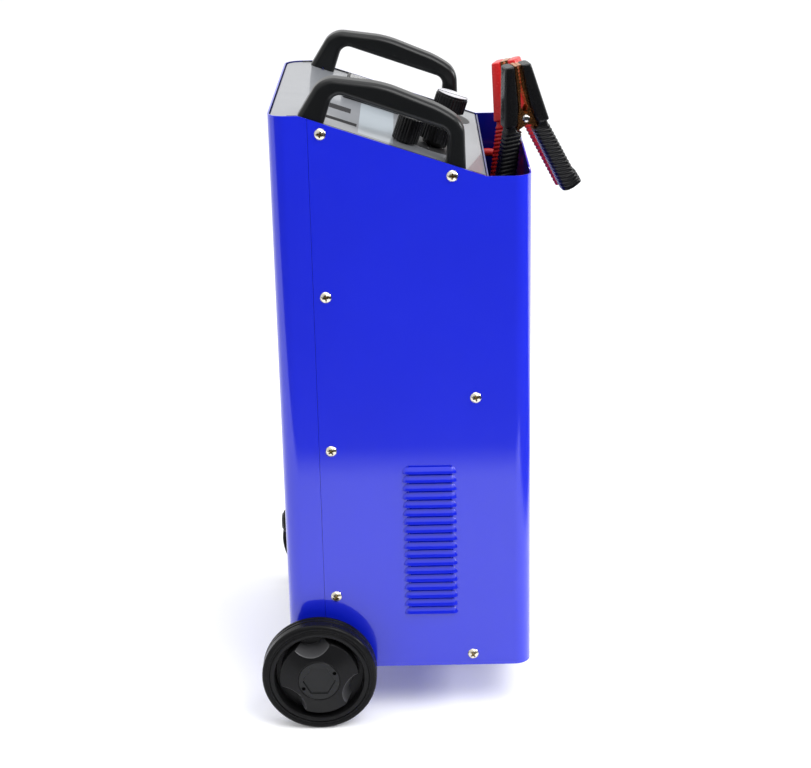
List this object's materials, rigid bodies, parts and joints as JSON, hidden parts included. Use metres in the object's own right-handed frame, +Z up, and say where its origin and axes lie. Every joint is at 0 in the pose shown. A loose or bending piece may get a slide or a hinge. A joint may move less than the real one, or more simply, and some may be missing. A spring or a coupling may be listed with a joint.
{
  "type": "battery charger",
  "caption": "Tall wheeled battery charger cabinet in sheet steel with sloping control panel, arched handles, louvred sides, front pocket with leads and spring clamps, axle and wheels.",
  "frame": {"origin": "on the floor, under the middle of the cabinet and wheels", "axes": "+Z up, -Y towards the front wall with the lead pocket, X across the width"},
  "size_m": [0.406, 0.3581, 0.7084],
  "materials": {
    "painted_blue": "gloss powder paint",
    "panel_grey": "satin",
    "rubber_black": "matt",
    "screw_zinc": "zinc plated",
    "axle_steel": "plain",
    "handle_plastic": "fine grain",
    "hub_plastic": "moulded",
    "tyre_black": "moulded",
    "gland_plastic": "moulded",
    "meter_plastic": "moulded",
    "dial_white": "printed",
    "needle_black": "painted",
    "meter_glass": "clear",
    "knob_plastic": "moulded",
    "knob_aluminium": "turned",
    "switch_resin": "moulded resin",
    "button_red": "moulded",
    "core_steel": "laminated",
    "winding_copper": "lacquered wire",
    "sink_aluminium": "extruded",
    "terminal_brass": "plain",
    "clamp_black": "soft plastic",
    "clamp_red": "soft plastic",
    "jaw_copper": "copper plated",
    "spring_steel": "plated",
    "lead_black": "cable sheath",
    "lead_red": "cable sheath"
  },
  "bodies": {
    "cabinet": {"front_shell": "painted_blue", "rear_cover": "painted_blue", "base_plate": "painted_blue", "lead_tray": "painted_blue", "front_foot": "painted_blue", "control_panel": "panel_grey", "foot_pads": "rubber_black", "case_screws": "screw_zinc", "handle_left": "handle_plastic", "handle_right": "handle_plastic", "handle_screws": "screw_zinc", "axle": "axle_steel", "mains_gland": "gland_plastic", "meter_case": "meter_plastic", "meter_dial": "dial_white", "meter_window": "meter_glass", "breaker_body": "meter_plastic", "core": "core_steel", "primary_winding": "winding_copper", "secondary_winding": "winding_copper", "core_brackets": "axle_steel", "heat_sink": "sink_aluminium", "diodes": "screw_zinc", "lead_terminals": "terminal_brass", "terminal_blocks": "switch_resin", "lead_grommets": "rubber_black", "charge_switch": "switch_resin", "voltage_switch": "switch_resin", "selector_switch": "switch_resin", "black_lead": "lead_black", "black_coil": "lead_black", "black_tail": "lead_black", "black_rear_arm": "clamp_black", "black_rear_jaw": "jaw_copper", "black_spring": "spring_steel", "black_rivet": "spring_steel", "red_lead": "lead_red", "red_coil": "lead_red", "red_tail": "lead_red", "red_rear_arm": "clamp_red", "red_rear_jaw": "jaw_copper", "red_spring": "spring_steel", "red_rivet": "spring_steel"},
    "wheel_left": {"hub_left": "hub_plastic", "tyre_left": "tyre_black", "cap_left": "hub_plastic"},
    "wheel_right": {"hub_right": "hub_plastic", "tyre_right": "tyre_black", "cap_right": "hub_plastic"},
    "charge_dial": {"charge_knob": "knob_plastic", "charge_cap": "knob_aluminium"},
    "voltage_dial": {"voltage_knob": "knob_plastic", "voltage_cap": "knob_aluminium"},
    "selector_dial": {"selector_knob": "knob_plastic"},
    "needle": {"meter_needle": "needle_black"},
    "reset_button": {"breaker_button": "button_red"},
    "black_arm": {"black_front_arm": "clamp_black", "black_front_jaw": "jaw_copper"},
    "red_arm": {"red_front_arm": "clamp_red", "red_front_jaw": "jaw_copper"}
  },
  "joints": [
    {"name": "wheel_left_spin", "type": "hinge", "parent": "cabinet", "child": "wheel_left", "pos_m": [0, 0.08475, 0.0625], "axis": [1, 0, 0], "continuous": true},
    {"name": "wheel_right_spin", "type": "hinge", "parent": "cabinet", "child": "wheel_right", "pos_m": [0, 0.08475, 0.0625], "axis": [1, 0, 0], "continuous": true},
    {"name": "charge_turn", "type": "hinge", "parent": "cabinet", "child": "charge_dial", "pos_m": [0.097, -0.06612, 0.61876], "axis": [0, -0.3256, 0.9455], "range_deg": [-150, 0]},
    {"name": "voltage_turn", "type": "hinge", "parent": "cabinet", "child": "voltage_dial", "pos_m": [-0.09, -0.04911, 0.62462], "axis": [0, -0.3256, 0.9455], "range_deg": [-60, 0]},
    {"name": "selector_turn", "type": "hinge", "parent": "cabinet", "child": "selector_dial", "pos_m": [-0.116, -0.01885, 0.63504], "axis": [0, -0.3256, 0.9455], "range_deg": [-90, 0]},
    {"name": "needle_swing", "type": "hinge", "parent": "cabinet", "child": "needle", "pos_m": [0.052, 0.00101, 0.64187], "axis": [0, -0.3256, 0.9455], "range_deg": [-90, 0], "stiffness_Nm_per_rad": 0.0004},
    {"name": "reset_press", "type": "slide", "parent": "cabinet", "child": "reset_button", "axis": [0, 0.3256, -0.9455], "range_m": [0, 0.003], "stiffness_N_per_m": 300, "springref_m": -0.001},
    {"name": "black_clamp_squeeze", "type": "hinge", "parent": "cabinet", "child": "black_arm", "pos_m": [0, -0.14865, 0.63439], "axis": [0.9848, 0.1736, 0], "range_deg": [0, 12], "stiffness_Nm_per_rad": 2, "springref_deg": -11.46},
    {"name": "red_clamp_squeeze", "type": "hinge", "parent": "cabinet", "child": "red_arm", "pos_m": [0.06, -0.14375, 0.62889], "axis": [0.9588, -0.284, 0], "range_deg": [0, 12], "stiffness_Nm_per_rad": 2, "springref_deg": -11.46}
  ]
}
